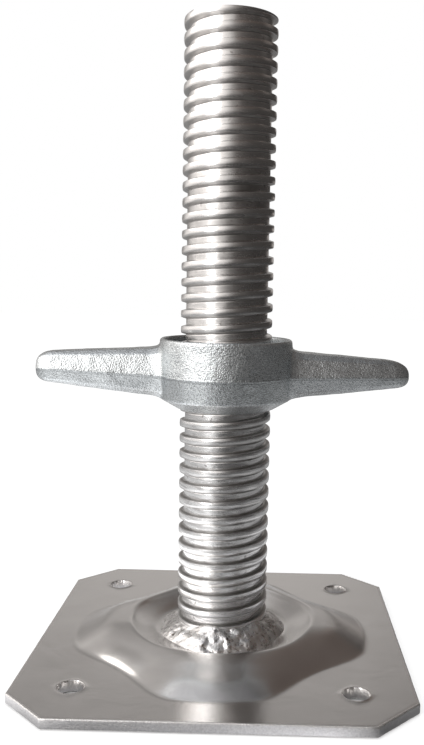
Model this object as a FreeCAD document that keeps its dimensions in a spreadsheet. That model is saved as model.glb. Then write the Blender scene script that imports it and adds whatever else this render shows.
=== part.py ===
import FreeCAD, Part
import math
import os

import Sketcher

# Adjustable support jack: a square foot plate with a pressed ring, a threaded stem welded upright in the
# dish of the ring, and a cast wing nut with a cup for the tube that it carries.
# The origin is the middle of the plate's underside, +Z points up along the stem.

doc = FreeCAD.newDocument("support_jack")
V = FreeCAD.Vector

# Driving dimensions, in millimetres and degrees
SIZES = {
    "plate_width": (150, "foot plate along X"),
    "plate_depth": (150, "foot plate along Y"),
    "plate_thickness": (4, "sheet of the foot plate"),
    "corner_cut": (17, "leg of each sheared corner"),
    "hole_spacing_x": (105, "fixing holes, centre to centre along X"),
    "hole_spacing_y": (105, "fixing holes, centre to centre along Y"),
    "hole_diameter": (10, "fixing holes"),
    "press_height": (8, "crest of the pressed ring above the plate"),
    "press_reach": (61.5, "foot of each pressed lobe from the stem's axis"),
    "ring_radius": (38.5, "crest of the ring, where its dish begins"),
    "shoulder_radius": (47.5, "outer end of the ring's gently falling top"),
    "shoulder_drop": (1.2, "fall of the ring's top to its outer end"),
    "dish_height": (2.5, "floor of the dish above the plate"),
    "dish_margin": (0.5, "floor of the dish beyond the weld"),
    "scoop_foot": (53, "foot of the diagonal scoops from the axis"),
    "scoop_radius": (50, "curve of a scoop's foot, seen from above"),
    "scoop_run": (12.7, "spread of a scoop's wall over the ring's height"),
    "stem_diameter": (38, "over the thread's crests"),
    "stem_bore": (29, "inside of the stem tube"),
    "stem_length": (251.5, "from the dish's floor to the open end"),
    "thread_pitch": (6.45, "rise of the thread in one turn"),
    "thread_depth": (2, "crest to root"),
    "thread_phase": (298, "turn of the thread about the axis"),
    "weld_leg": (7.5, "weld along the dish's floor"),
    "weld_height": (7, "weld up the stem"),
    "weld_crown_out": (4.4, "crown of the weld's face from the stem"),
    "weld_crown_up": (4, "crown of the weld's face above the dish's floor"),
    "nut_height": (101.25, "underside of the nut above the floor"),
    "nut_turn": (3.8, "wings turned from the X axis"),
    "nut_length": (28.75, "height of the nut's body"),
    "nut_radius": (28, "body and cup outside"),
    "nut_foot_radius": (20.2, "end of the bevel under the nut"),
    "nut_bevel": (4.25, "height of the bevel"),
    "nut_clearance": (0.3, "bore to thread crests, on the radius"),
    "cup_depth": (9.25, "seat of the carried tube below the rim"),
    "cup_wall": (2.4, "wall of the cup"),
    "wing_root": (20, "inner end of a wing from the axis, inside the body"),
    "wing_bend": (69, "start of the rounded tip from the axis"),
    "wing_nose": (75, "shoulder of the rounded tip from the axis"),
    "wing_reach": (77.4, "wing tip from the axis"),
    "wing_parting": (14, "mould parting above the nut's underside"),
    "root_top": (8, "flank above the parting, at the inner end"),
    "root_bottom": (7.6, "flank below the parting, at the inner end"),
    "root_half": (12.5, "half thickness at the parting, inner end"),
    "bend_top": (5.4, "flank above the parting, at the rounded tip"),
    "bend_bottom": (3.4, "flank below the parting, at the rounded tip"),
    "bend_half": (7.5, "half thickness at the parting, rounded tip"),
    "nose_share": (0.8, "tip's shoulder as a share of the section where its rounding starts"),
    "tip_share": (0.42, "tip's end as a share of the same section"),
    "wing_draft": (0.36, "lean of the wing's flanks, run over rise"),
    "crown_flat": (0.5, "flat of the wing's crowned edges, as a share of their width"),
    "crown_rise": (0.29, "rise of the crowned edges, as a share of their half width"),
}

sheet = doc.addObject("Spreadsheet::Sheet", "sizes")
for row, (alias, (value, note)) in enumerate(SIZES.items(), start=1):
    sheet.set(f"A{row}", str(value))
    sheet.setAlias(f"A{row}", alias)
    sheet.set(f"B{row}", note)
doc.recompute()


def size(alias):
    """One driving dimension as a number."""
    return float(getattr(sheet, alias))


def number(expression):
    """What an expression over the sheet comes to."""
    return float(sheet.evalExpression(expression))


def bind(item, **expressions):
    """Ties properties of an object to the sheet; two underscores stand for a dot."""
    for name, expression in expressions.items():
        item.setExpression(name.replace("__", "."), expression)


def new_sketch(body, name, role):
    """An empty sketch on one of the body's origin planes."""
    sketch = body.newObject("Sketcher::SketchObject", name)
    plane = next(item for item in body.Origin.OriginFeatures if item.Role == role)
    sketch.AttachmentSupport = [(plane, "")]
    sketch.MapMode = "FlatFace"
    return sketch


def pin(sketch, curve, point, place):
    """Holds one point of a curve at a pair of expressions measured from the sketch's origin."""
    for kind, axis, expression in zip(("DistanceX", "DistanceY"), (-2, -1), place):
        if expression == "0":
            sketch.addConstraint(Sketcher.Constraint("PointOnObject", curve, point, axis))
            continue
        index = sketch.addConstraint(Sketcher.Constraint(kind, -1, 1, curve, point, number(expression)))
        sketch.setExpression(f"Constraints[{index}]", expression)


def outline(sketch, corners):
    """A closed outline of straight sides through corners given as expressions."""
    points = [V(number(x), number(y), 0) for x, y in corners]
    for start, end in zip(points, points[1:] + points[:1]):
        sketch.addGeometry(Part.LineSegment(start, end), False)
    for side, place in enumerate(corners):
        before = (side - 1) % len(corners)
        sketch.addConstraint(Sketcher.Constraint("Coincident", before, 2, side, 1))
        pin(sketch, side, 1, place)


def revolve(body, kind, name, sketch):
    """A full turn of a sketch about its own vertical axis, added or cut away."""
    feature = body.newObject(kind, name)
    feature.Profile = sketch
    feature.ReferenceAxis = (sketch, ["V_Axis"])
    feature.Angle = 360
    return feature


def repeat_round(body, name, feature, copies):
    """Copies of a feature, evenly spaced about the body's Z axis."""
    pattern = body.newObject("PartDesign::PolarPattern", name)
    pattern.Originals = [feature]
    axis = next(item for item in body.Origin.OriginFeatures if item.Role == "Z_Axis")
    pattern.Axis = (axis, [""])
    pattern.Angle = 360
    pattern.Occurrences = copies
    body.Tip = pattern
    return pattern


# Foot plate: a sheet with sheared corners, pressed up into a four-lobed ring round a dish
PLATE_TOP = "sizes.plate_thickness"
DISH_TOP = "sizes.plate_thickness + sizes.dish_height"
SCOOPS = 4


def press_form(body, level):
    """The raised form above a level: a turned ring with a dish, and a scoop cut into each diagonal."""
    profile = new_sketch(body, body.Name + "_profile", "XZ_Plane")
    crest = ("sizes.ring_radius", f"{level} + sizes.press_height")
    shoulder = ("sizes.shoulder_radius", f"{level} + sizes.press_height - sizes.shoulder_drop")
    dish = f"{level} + sizes.dish_height"
    dish_edge = ("sizes.stem_diameter / 2 + sizes.weld_leg + sizes.dish_margin", dish)
    corners = [("0", level), ("sizes.press_reach", level), shoulder, crest, dish_edge, ("0", dish)]
    outline(profile, corners)
    revolve(body, "PartDesign::Revolution", body.Name + "_ring", profile)

    scoop = body.newObject("PartDesign::SubtractiveCone", body.Name + "_scoop")
    plane = next(item for item in body.Origin.OriginFeatures if item.Role == "XY_Plane")
    scoop.AttachmentSupport = [(plane, "")]
    scoop.MapMode = "FlatFace"
    along = "(sizes.scoop_foot + sizes.scoop_radius) * cos(45 deg)"
    bind(scoop, Radius1="sizes.scoop_radius", Radius2="sizes.scoop_radius + sizes.scoop_run",
         Height="sizes.press_height", AttachmentOffset__Base__x=along, AttachmentOffset__Base__y=along,
         AttachmentOffset__Base__z=level)
    doc.recompute()
    repeat_round(body, body.Name + "_scoops", scoop, SCOOPS)


def make_base_plate():
    """The pressed sheet: slab and raised form, less the same form one sheet thickness lower."""
    body = doc.addObject("PartDesign::Body", "pressed_top")
    sheared = new_sketch(body, "sheared_outline", "XY_Plane")
    half_x, half_y = "sizes.plate_width / 2", "sizes.plate_depth / 2"
    cut_x, cut_y = f"({half_x} - sizes.corner_cut)", f"({half_y} - sizes.corner_cut)"
    right = [(cut_x, "-" + half_y), (half_x, "-" + cut_y), (half_x, cut_y), (cut_x, half_y)]
    left = [("-" + x, y) for x, y in reversed(right)]
    outline(sheared, right + left)
    slab = body.newObject("PartDesign::Pad", "slab")
    slab.Profile = sheared
    bind(slab, Length=PLATE_TOP)
    press_form(body, PLATE_TOP)

    drilled = new_sketch(body, "hole_circles", "XY_Plane")
    places = [(sx + "sizes.hole_spacing_x / 2", sy + "sizes.hole_spacing_y / 2") for sx in "-+" for sy in "-+"]
    for index, place in enumerate(places):
        centre = V(number(place[0]), number(place[1]), 0)
        drilled.addGeometry(Part.Circle(centre, V(0, 0, 1), size("hole_diameter") / 2), False)
        pin(drilled, index, 3, place)
        width = drilled.addConstraint(Sketcher.Constraint("Diameter", index, size("hole_diameter")))
        drilled.setExpression(f"Constraints[{width}]", "sizes.hole_diameter")
    holes = body.newObject("PartDesign::Pocket", "holes")
    holes.Profile = drilled
    holes.Type = "ThroughAll"
    holes.Reversed = True
    body.Tip = holes

    hollow = doc.addObject("PartDesign::Body", "pressed_hollow")
    press_form(hollow, "0")
    plate = doc.addObject("Part::Cut", "base_plate")
    plate.Base = body
    plate.Tool = hollow
    return plate


# Threaded stem: a tube with a coarse rolled right-hand thread over its whole length
POINTS_PER_TURN = 8
SPARE_TURNS = 2


def helix(radius, start, turns):
    """The turns of a helix that starts at a height, each an edge of one smooth curve."""
    phase = math.radians(size("thread_phase"))
    steps = range(-POINTS_PER_TURN, (turns + 1) * POINTS_PER_TURN + 1)
    places = [step / POINTS_PER_TURN for step in steps]
    points = [V(radius * math.cos(2 * math.pi * turn + phase), radius * math.sin(2 * math.pi * turn + phase),
                start + size("thread_pitch") * turn) for turn in places]
    edges = []
    for turn in range(turns):
        curve = Part.BSplineCurve()
        curve.interpolate(Points=points, Parameters=places)
        curve.segment(turn, turn + 1)
        edges.append(curve.toShape())
    return edges


def helix_end(edges):
    """Closes one end of the thread: a helical ramp to the axis and the flat step that it leaves."""
    first = edges[0]
    low, high = first.Vertexes[0].Point, first.Vertexes[-1].Point
    axis = Part.LineSegment(V(0, 0, low.z), V(0, 0, high.z)).toShape()
    ramp = Part.makeRuledSurface(axis, first)
    steps = [edge.Vertexes[0].Point for edge in edges] + [high]
    step = Part.Face(Part.makePolygon([V(0, 0, low.z)] + steps + [V(0, 0, high.z), V(0, 0, low.z)]))
    return [ramp, step]


def make_threaded_stem():
    """The thread's two flanks as helical strips with spare turns, cut to length and bored through."""
    pitch = size("thread_pitch")
    outer = size("stem_diameter") / 2
    inner = outer - size("thread_depth")
    start = number(DISH_TOP) - SPARE_TURNS * pitch
    turns = math.ceil(size("stem_length") / pitch) + 2 * SPARE_TURNS
    rows = [(outer, 0), (inner, pitch / 2)]
    edges = list(zip(*(helix(radius, start + rise, turns + 1) for radius, rise in rows)))
    strips = []
    for turn in range(turns):
        sides = (*edges[turn], edges[turn + 1][0])
        strips += [Part.makeRuledSurface(a, b) for a, b in zip(sides, sides[1:])]
    ends = helix_end(edges[0]) + helix_end(edges[turns])
    shell = Part.makeShell(strips + ends)
    shell.sewShape()
    thread = doc.addObject("Part::Feature", "thread")
    thread.Shape = Part.Solid(shell)

    length = doc.addObject("Part::Cylinder", "stem_span")
    bind(length, Radius="sizes.stem_diameter", Height="sizes.stem_length", Placement__Base__z=DISH_TOP)
    threaded = doc.addObject("Part::Common", "thread_to_length")
    threaded.Base = length
    threaded.Tool = thread
    bore = doc.addObject("Part::Cylinder", "stem_bore_core")
    bind(bore, Radius="sizes.stem_bore / 2", Height="sizes.stem_length", Placement__Base__z=DISH_TOP)
    stem = doc.addObject("Part::Cut", "threaded_stem")
    stem.Base = threaded
    stem.Tool = bore
    return stem


# Weld bead: a fillet run all round the foot of the stem
def make_weld_bead():
    body = doc.addObject("PartDesign::Body", "weld_bead")
    section = new_sketch(body, "weld_section", "XZ_Plane")
    wall, floor = "sizes.stem_diameter / 2", DISH_TOP
    crown = (f"{wall} + sizes.weld_crown_out", f"{floor} + sizes.weld_crown_up")
    outline(section, [(wall, floor), (f"{wall} + sizes.weld_leg", floor), crown,
                      (wall, f"{floor} + sizes.weld_height")])
    revolve(body, "PartDesign::Revolution", "weld_run", section)
    return body


# Wing nut: one casting, with a bevelled body, a cup on top and two drafted wings
WINGS = 2


def wing_section(body, name, place, share, station):
    """A wing's section at a distance from the axis: two leaning flanks that meet at the mould's parting,
    with a crowned edge above and below."""
    section = new_sketch(body, f"wing_{name}_section", "YZ_Plane")
    bind(section, AttachmentOffset__Base__z=place)
    middle = "sizes.wing_parting"
    top, bottom, half = (f"{share} * sizes.{station}_{edge}" for edge in ("top", "bottom", "half"))
    corners = []
    for sign, flank in (("-", bottom), ("+", top)):
        edge = f"({half} - {flank} * sizes.wing_draft)"
        crest = (f"{edge} * sizes.crown_flat", f"{middle} {sign} {flank} {sign} {edge} * sizes.crown_rise")
        corners.append([crest, (edge, f"{middle} {sign} {flank}")])
    right = corners[0] + [(half, middle)] + corners[1][::-1]
    left = [("-" + x, y) for x, y in reversed(right)]
    outline(section, right + left)
    return section


def make_wing_nut():
    body = doc.addObject("PartDesign::Body", "wing_nut")
    turned = new_sketch(body, "body_profile", "XZ_Plane")
    corners = [("0", "0"), ("sizes.nut_foot_radius", "0"), ("sizes.nut_radius", "sizes.nut_bevel"),
               ("sizes.nut_radius", "sizes.nut_length"), ("0", "sizes.nut_length")]
    outline(turned, corners)
    revolve(body, "PartDesign::Revolution", "nut_body", turned)

    stations = [
        wing_section(body, "root", "sizes.wing_root", "1", "root"),
        wing_section(body, "bend", "sizes.wing_bend", "1", "bend"),
        wing_section(body, "nose", "sizes.wing_nose", "sizes.nose_share", "bend"),
        wing_section(body, "tip", "sizes.wing_reach", "sizes.tip_share", "bend"),
    ]
    doc.recompute()
    wing = body.newObject("PartDesign::AdditiveLoft", "wing")
    wing.Profile = stations[0]
    wing.Sections = stations[1:]
    wing.Ruled = True
    doc.recompute()
    repeat_round(body, "wings", wing, WINGS)
    doc.recompute()

    hollow = new_sketch(body, "hollow_profile", "XZ_Plane")
    bore = "sizes.stem_diameter / 2 + sizes.nut_clearance"
    seat = "sizes.nut_length - sizes.cup_depth"
    cup = "sizes.nut_radius - sizes.cup_wall"
    corners = [("0", "0"), (bore, "0"), (bore, seat), (cup, seat), (cup, "sizes.nut_length"),
               ("0", "sizes.nut_length")]
    outline(hollow, corners)
    revolve(body, "PartDesign::Groove", "bore_and_cup", hollow)
    bind(body, Placement__Base__z="sizes.nut_height", Placement__Rotation__Angle="sizes.nut_turn")
    return body


PARTS = [make_base_plate(), make_threaded_stem(), make_weld_bead(), make_wing_nut()]
doc.recompute()

for item in doc.Objects:
    if any(state in ("Invalid", "Error") for state in item.State):
        raise RuntimeError(f"{item.Label} failed: {item.State}")
for part in PARTS:
    if part.Shape.isNull() or not part.Shape.isValid() or len(part.Shape.Solids) != 1:
        raise RuntimeError(f"{part.Label} is not one sound solid")

os.makedirs("parts", exist_ok=True)
for part in PARTS:
    box = part.Shape.BoundBox
    print(f"{part.Label}: {part.Shape.Volume / 1000:.1f} cm3, {len(part.Shape.Faces)} faces,"
          f" z {box.ZMin:.2f} to {box.ZMax:.2f}, x {box.XMin:.2f} to {box.XMax:.2f}")
    part.Shape.exportStep(f"parts/{part.Label}.step")
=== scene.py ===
# %% [markdown]
# # An adjustable support jack
# The real thing is a steel foot for a prop or a scaffold tube: a pressed plate, a threaded tube welded
# upright on it, and a cast wing nut whose cup carries the load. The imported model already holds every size,
# so this lesson loads it as a frame and dresses its four pieces with finer surfaces in the same place.
# Nothing is moved: the frame says where things are, the surfaces say how they look.

# %% Load the frame
import math

import bmesh
import bpy
import numpy as np
from mathutils import Matrix, Vector


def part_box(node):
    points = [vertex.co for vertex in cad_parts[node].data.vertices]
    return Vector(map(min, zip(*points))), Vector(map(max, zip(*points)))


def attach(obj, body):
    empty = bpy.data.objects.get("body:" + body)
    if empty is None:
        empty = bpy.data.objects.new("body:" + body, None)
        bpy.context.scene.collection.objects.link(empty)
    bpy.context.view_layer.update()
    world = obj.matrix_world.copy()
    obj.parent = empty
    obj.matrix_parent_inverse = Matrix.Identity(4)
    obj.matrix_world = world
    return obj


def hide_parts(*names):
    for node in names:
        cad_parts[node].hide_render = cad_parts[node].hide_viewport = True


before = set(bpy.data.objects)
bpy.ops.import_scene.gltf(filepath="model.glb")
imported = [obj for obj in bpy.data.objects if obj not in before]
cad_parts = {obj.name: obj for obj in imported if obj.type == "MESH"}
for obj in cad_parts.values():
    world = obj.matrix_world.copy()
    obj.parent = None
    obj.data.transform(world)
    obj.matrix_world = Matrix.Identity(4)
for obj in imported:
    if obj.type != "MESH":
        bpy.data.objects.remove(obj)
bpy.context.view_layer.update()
MM = 0.001
print("nodes in the frame:", sorted(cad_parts))

# %% [markdown]
# ## From arrays to a mesh
# Every piece is a sheet of points: a function of two parameters, worked out as one numpy array. A sheet
# becomes quads by joining each point to its neighbours, and a direction that runs full circle is wrapped.
# Several sheets make one piece, and points that coincide are merged, so seams and poles close by themselves.

# %% Sheets
def round_points(radius, turn, height):
    """Points at a radius, an angle in radians and a height, for whole tables at once."""
    return np.stack(np.broadcast_arrays(radius * np.cos(turn), radius * np.sin(turn), height), axis=-1)


def sheet_quads(index):
    """Quads between neighbouring rows and columns of a table of point numbers."""
    corners = [index[:-1, :-1], index[1:, :-1], index[1:, 1:], index[:-1, 1:]]
    return np.stack(corners, axis=-1).reshape(-1, 4)


def wrapped(index):
    """A table of point numbers with its first row repeated at the end, so that it runs full circle."""
    return np.concatenate([index, index[:1]], axis=0)


def number_table(sheet):
    """The number of each point of a sheet, as a table of its rows and columns."""
    return np.arange(sheet.shape[0] * sheet.shape[1]).reshape(sheet.shape[:2])


def section_quads(sheet, full_circle=True):
    """Quads of a closed section carried along the rows of a sheet, full circle or from end to end."""
    index = wrapped(number_table(sheet).T).T
    return sheet_quads(wrapped(index) if full_circle else index)


print("quads of a small tube:", len(section_quads(np.zeros((4, 3, 3)))))

# %% [markdown]
# A finished mesh rides on a body of the frame and takes the place of a node, so it moves with the joints.

# %% Merging and riding
def mesh_from(name, points, quads, marks=()):
    """A mesh from points in millimetres and quads; marks are named values, one per point.
    Points closer than a thousandth of a millimetre are merged and all faces are turned outwards."""
    mesh = bpy.data.meshes.new(name)
    mesh.from_pydata(points * MM, [], quads)
    for mark, values in marks:
        layer = mesh.attributes.new(mark, "FLOAT", "POINT")
        layer.data.foreach_set("value", values.astype(np.float32))
    work = bmesh.new()
    work.from_mesh(mesh)
    bmesh.ops.remove_doubles(work, verts=work.verts, dist=1e-6)
    bmesh.ops.recalc_face_normals(work, faces=work.faces)
    work.to_mesh(mesh)
    work.free()
    mesh.shade_smooth()
    return mesh


def put(name, data):
    """An object for a mesh, lamp or camera, linked into the scene."""
    made = bpy.data.objects.new(name, data)
    bpy.context.collection.objects.link(made)
    return made


def dress(name, mesh, node, body, material):
    """Puts a finished mesh into the scene in place of a node, riding on the node's body."""
    piece = put(name, mesh)
    mesh.materials.append(material)
    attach(piece, body)
    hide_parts(node)
    print(f"{name}: {len(mesh.vertices)} points, {len(mesh.polygons)} faces")


# %% [markdown]
# Steel is never quite even, so small helpers give the unevenness: smooth steps for soft edges, and a value
# noise that is worked out for whole arrays at once and gives the same lumps every time.

# %% Soft steps and lumps
def soft_step(value):
    """Rises from 0 to 1 while the value goes from 0 to 1, level at both ends."""
    value = np.clip(value, 0.0, 1.0)
    return value * value * (3.0 - 2.0 * value)


def band(value, start, rise, end, fall):
    """Rises softly after a start over a length, and falls softly to 0 over a length before an end."""
    return soft_step((value - start) / rise) * soft_step((end - value) / fall)


def soft_min(a, b, width):
    """The lower of two heights, with the crease between them rounded over a width."""
    share = np.clip(0.5 + 0.5 * (b - a) / width, 0.0, 1.0)
    return b + (a - b) * share - width * share * (1.0 - share)


def lattice(cell, seed):
    """A fixed value between -1 and 1 for each whole-number cell."""
    mixed = np.sin(cell @ np.array([127.1, 311.7, 74.7]) + 19.3 * seed) * 43758.5453
    return 2.0 * (mixed - np.floor(mixed)) - 1.0


def lumps(points, size, seed=0):
    """Smooth noise between -1 and 1: lattice values a size apart, blended by soft steps along three axes."""
    place = points / size
    cell = np.floor(place)
    blend = soft_step(place - cell)
    total = np.zeros(place.shape[:-1])
    for corner in np.ndindex(2, 2, 2):
        share = np.where(np.array(corner) == 1, blend, 1.0 - blend).prod(axis=-1)
        total += share * lattice(cell + np.array(corner), seed)
    return total


print("noise check:", round(float(lumps(np.array([[1.5, 2.5, 3.5]]), 1.0)[0]), 4))

# %% [markdown]
# ## Effects that several finishes share
# All four pieces are zinc on steel, so they share two effects. One is the cloudiness of the plating, a slow
# drift of shade. The other is a grain of tiny pits. Small helpers come first; each adds a node to the tree
# that its values come from.

# %% Node helpers
def feed(socket, value):
    """Links an input to another node's output, or sets the input's own value."""
    if isinstance(value, bpy.types.NodeSocket):
        socket.id_data.links.new(value, socket)
    else:
        socket.default_value = value


def add_node(tree, kind, **inputs):
    """A node with its inputs fed by name, with underscores for blanks."""
    made = tree.nodes.new(kind)
    for name, value in inputs.items():
        feed(made.inputs[name.replace("_", " ")], value)
    return made


def ramp(source, low, high, start=0.0, end=1.0):
    """Maps a value from low..high to start..end, held at both ends."""
    limits = dict(From_Min=low, From_Max=high, To_Min=start, To_Max=end)
    return add_node(source.id_data, "ShaderNodeMapRange", Value=source, **limits).outputs["Result"]


def mix(mask, first, second):
    """One colour where the mask is 0, another where it is 1; either may be a socket."""
    made = mask.id_data.nodes.new("ShaderNodeMix")
    made.data_type = "RGBA"
    feed(made.inputs[0], mask)
    for socket, colour in ((made.inputs[6], first), (made.inputs[7], second)):
        feed(socket, (*colour, 1.0) if isinstance(colour, tuple) else colour)
    return made.outputs[2]


def join(operation, first, second=0.0):
    """A Math node on two values, each a socket or a number, but not both numbers."""
    tree = (first if isinstance(first, bpy.types.NodeSocket) else second).id_data
    made = tree.nodes.new("ShaderNodeMath")
    made.operation = operation
    feed(made.inputs[0], first)
    feed(made.inputs[1], second)
    return made.outputs[0]


def times(first, second):
    """The product of two values."""
    return join("MULTIPLY", first, second)


print("node helpers are defined")

# %% [markdown]
# Each shared effect is a node group that takes a vector and a scale and only gives out values. The shader
# stays in each material, so a finish can still be read from one tree.

# %% Shared groups
def new_group(name, inputs, outputs):
    """An empty node group with a vector and named values going in and named values coming out."""
    group = bpy.data.node_groups.new(name, "ShaderNodeTree")
    group.interface.new_socket("Vector", in_out="INPUT", socket_type="NodeSocketVector")
    for way, names in (("INPUT", inputs), ("OUTPUT", outputs)):
        for socket in names:
            group.interface.new_socket(socket, in_out=way, socket_type="NodeSocketFloat")
    return group, group.nodes.new("NodeGroupInput").outputs, group.nodes.new("NodeGroupOutput").inputs


def group_noise(group, given, scale, **values):
    """A noise at the group's vector and one of its scales."""
    made = add_node(group, "ShaderNodeTexNoise", Vector=given["Vector"], Scale=given[scale], **values)
    return made.outputs["Fac"]


def make_cloud_group():
    """Plating cloud: a slow noise, slightly pulled about, spread over 0 to 1."""
    group, given, result = new_group("plating_cloud", ["Scale"], ["Shade"])
    noise = group_noise(group, given, "Scale", Detail=4.0, Roughness=0.55, Distortion=0.6)
    feed(result["Shade"], ramp(noise, 0.3, 0.7))
    return group


def make_grain_group():
    """Metal grain: a fine noise for the height, and the pits where a second noise falls low."""
    group, given, result = new_group("metal_grain", ["Scale", "Pits"], ["Height", "Pits"])
    feed(result["Height"], group_noise(group, given, "Scale", Detail=3.0, Roughness=0.6))
    pits = group_noise(group, given, "Pits", Detail=2.0, Roughness=0.5)
    feed(result["Pits"], ramp(pits, 0.36, 0.26))
    return group


CLOUD, GRAIN = make_cloud_group(), make_grain_group()
print("shared effects:", CLOUD.name, GRAIN.name)

# %% [markdown]
# Every finish is put together the same way: a metal shader, some effects placed at its own scale, the marks
# that the mesh carries, and at the end one colour, one roughness and one normal.

# %% Parts of a finish
def new_finish(name, metallic=1.0):
    """A material with its own shader: returns the material, its tree, the shader and Object coordinates."""
    material = bpy.data.materials.new(name)
    material.use_nodes = True
    tree = material.node_tree
    shader = tree.nodes["Principled BSDF"]
    feed(shader.inputs["Metallic"], metallic)
    coords = tree.nodes.new("ShaderNodeTexCoord").outputs["Object"]
    return material, tree, shader, coords


def place_group(group, vector, **values):
    """The outputs of a shared effect, placed in a finish with its own values."""
    made = vector.id_data.nodes.new("ShaderNodeGroup")
    made.node_tree = group
    for name, value in {"Vector": vector, **values}.items():
        feed(made.inputs[name], value)
    return made.outputs


def mark_of(tree, name):
    """The value that a piece's points carry under a name."""
    made = tree.nodes.new("ShaderNodeAttribute")
    made.attribute_name = name
    return made.outputs["Fac"]


def bump(height, distance, strength, below=None):
    """The normal of a Bump node over a height, on top of another normal if there is one."""
    made = add_node(height.id_data, "ShaderNodeBump", Strength=strength, Distance=distance, Height=height)
    if below is not None:
        feed(made.inputs["Normal"], below)
    return made.outputs["Normal"]


def finish_with(shader, colour, roughness, normal):
    """Gives a shader its colour, roughness and normal."""
    for socket, value in (("Base Color", colour), ("Roughness", roughness), ("Normal", normal)):
        feed(shader.inputs[socket], value)


print("parts of a finish are defined")

# %% [markdown]
# ## The threaded stem
# The stem is a tube whose coarse thread was rolled in: a ridge, a groove of about the same width, and short
# steep flanks between them. One way is a Screw modifier on a small profile. Here the surface is written down
# instead: the radius depends only on how far a point lies above the nearest ridge, and the ridge climbs one
# pitch per turn. The rows of the sheet follow the ridge, so every edge stays clean, and rows beyond an end
# are pressed flat onto it and merge there.

# %% Thread shape
PITCH, THREAD_TURN, THREAD_START = 6.45, 298.0, -6.4
RIDGE_HALF, FLANK, THREAD_DEPTH = 0.2, 0.12, 2.0
STEM_LOW, STEM_HIGH = (corner[2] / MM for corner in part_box("threaded_stem"))
RIDGE_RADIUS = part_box("threaded_stem")[1][0] / MM


def ridge_height(angle):
    """Height of the ridge that starts lowest, at an angle round the stem in degrees."""
    return THREAD_START + PITCH * ((angle - THREAD_TURN) / 360.0)


def thread_fall(share):
    """How far the surface has fallen from ridge (0) to groove (1), by the pitches to the nearest ridge."""
    away = np.abs((share + 0.5) % 1.0 - 0.5)
    return soft_step((away - RIDGE_HALF) / FLANK)


def under_ridge(share):
    """Grows from the lower half of a ridge to the foot of its lower flank, and ends there."""
    below = -((share + 0.5) % 1.0 - 0.5)
    foot = RIDGE_HALF + FLANK
    return soft_step((below - 0.13) / 0.14) * np.clip((foot + 0.03 - below) / 0.03, 0.0, 1.0)


def stem_radius(angle, height):
    """Radius of the outside: the ridge's radius less the fall, with a crowned ridge and slight unevenness."""
    share = (height - ridge_height(angle)) / PITCH
    away = np.abs((share + 0.5) % 1.0 - 0.5)
    crown = 0.12 * np.clip(away / RIDGE_HALF, 0.0, 1.0) ** 2 + 0.08 * under_ridge(share)
    uneven = 0.05 * lumps(round_points(19, np.radians(angle), height), 3.0, 1)
    return RIDGE_RADIUS - THREAD_DEPTH * thread_fall(share) - crown + uneven - 0.05


middle = ridge_height(0.0) + PITCH * np.array([20.0, 20.5])
print("radius on a ridge and in a groove:", np.round(stem_radius(np.zeros(2), middle), 2))

# %% [markdown]
# Two marks travel with the points: how deep in the groove a point lies, and how far under a ridge. The finish
# needs both, because dirt and pits sit in the grooves, and shade is painted under the ridges and on the low
# flanks.

# %% Stem mesh
BORE_RADIUS, BORE_EDGE = 14.5, 0.5
COLUMNS = 112


def make_stem():
    """Two sheets: the threaded outside, whose rows climb with the ridge, and the ends with the plain bore."""
    angle = np.arange(COLUMNS) * 360.0 / COLUMNS
    inside = np.linspace(-RIDGE_HALF, RIDGE_HALF, 5)
    flank = RIDGE_HALF + FLANK * np.array([0.25, 0.5, 0.75, 1.0])
    shares = np.concatenate([inside, flank, [0.42, 0.5, 0.58, 0.65], 1.0 - flank[::-1]])
    turns = np.arange(-1, math.ceil((STEM_HIGH - THREAD_START) / PITCH) + 2)
    rows = (turns[:, None] + shares).ravel()
    spread = angle[:, None]
    height = np.clip(ridge_height(spread) + PITCH * rows, STEM_LOW, STEM_HIGH)
    outside = round_points(stem_radius(spread, height), np.radians(spread), height)
    share = (height - ridge_height(spread)) / PITCH
    index = number_table(height)
    climb = len(shares)
    quads = [sheet_quads(index), sheet_quads(np.stack([index[-1, :-climb], index[0, climb:]]))]

    level = np.ones(COLUMNS)
    wall = np.outer(level, [BORE_RADIUS + BORE_EDGE, BORE_RADIUS, BORE_RADIUS])
    bore = np.column_stack([stem_radius(angle, STEM_HIGH), wall, stem_radius(angle, STEM_LOW)])
    rise = np.outer(level, [STEM_HIGH, STEM_HIGH, STEM_HIGH - BORE_EDGE, STEM_LOW, STEM_LOW])
    inner = round_points(bore, np.radians(spread), rise)
    quads.append(sheet_quads(wrapped(number_table(bore)) + height.size))
    points = np.concatenate([outside.reshape(-1, 3), inner.reshape(-1, 3)])
    marks = [(name, np.concatenate([values.ravel(), np.zeros(bore.size)]))
             for name, values in (("groove", thread_fall(share)), ("under", under_ridge(share)))]
    mesh = mesh_from("stem_surface", points, np.concatenate(quads), marks)
    mesh.set_sharp_from_angle(angle=math.radians(40))
    return mesh


stem_mesh = make_stem()
print(f"thread: {(STEM_HIGH - STEM_LOW) / PITCH:.1f} turns of {PITCH} mm")

# %% [markdown]
# Bright zinc on a rolled thread is close to a mirror along the ridges. Shade is painted under every ridge,
# dirt lies in the grooves halfway up, and low down, where the stem is rubbed, shade is painted on all flanks
# and the ridges are bright. Faint streaks run along the thread: they are the cloud effect, pressed flat.

# %% Bright zinc of the stem
LOWER_STEM = (0.13, 0.09)
DIRT_ENDS, DIRT_GROWS = (0.207, 0.190), (0.120, 0.172)


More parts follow.
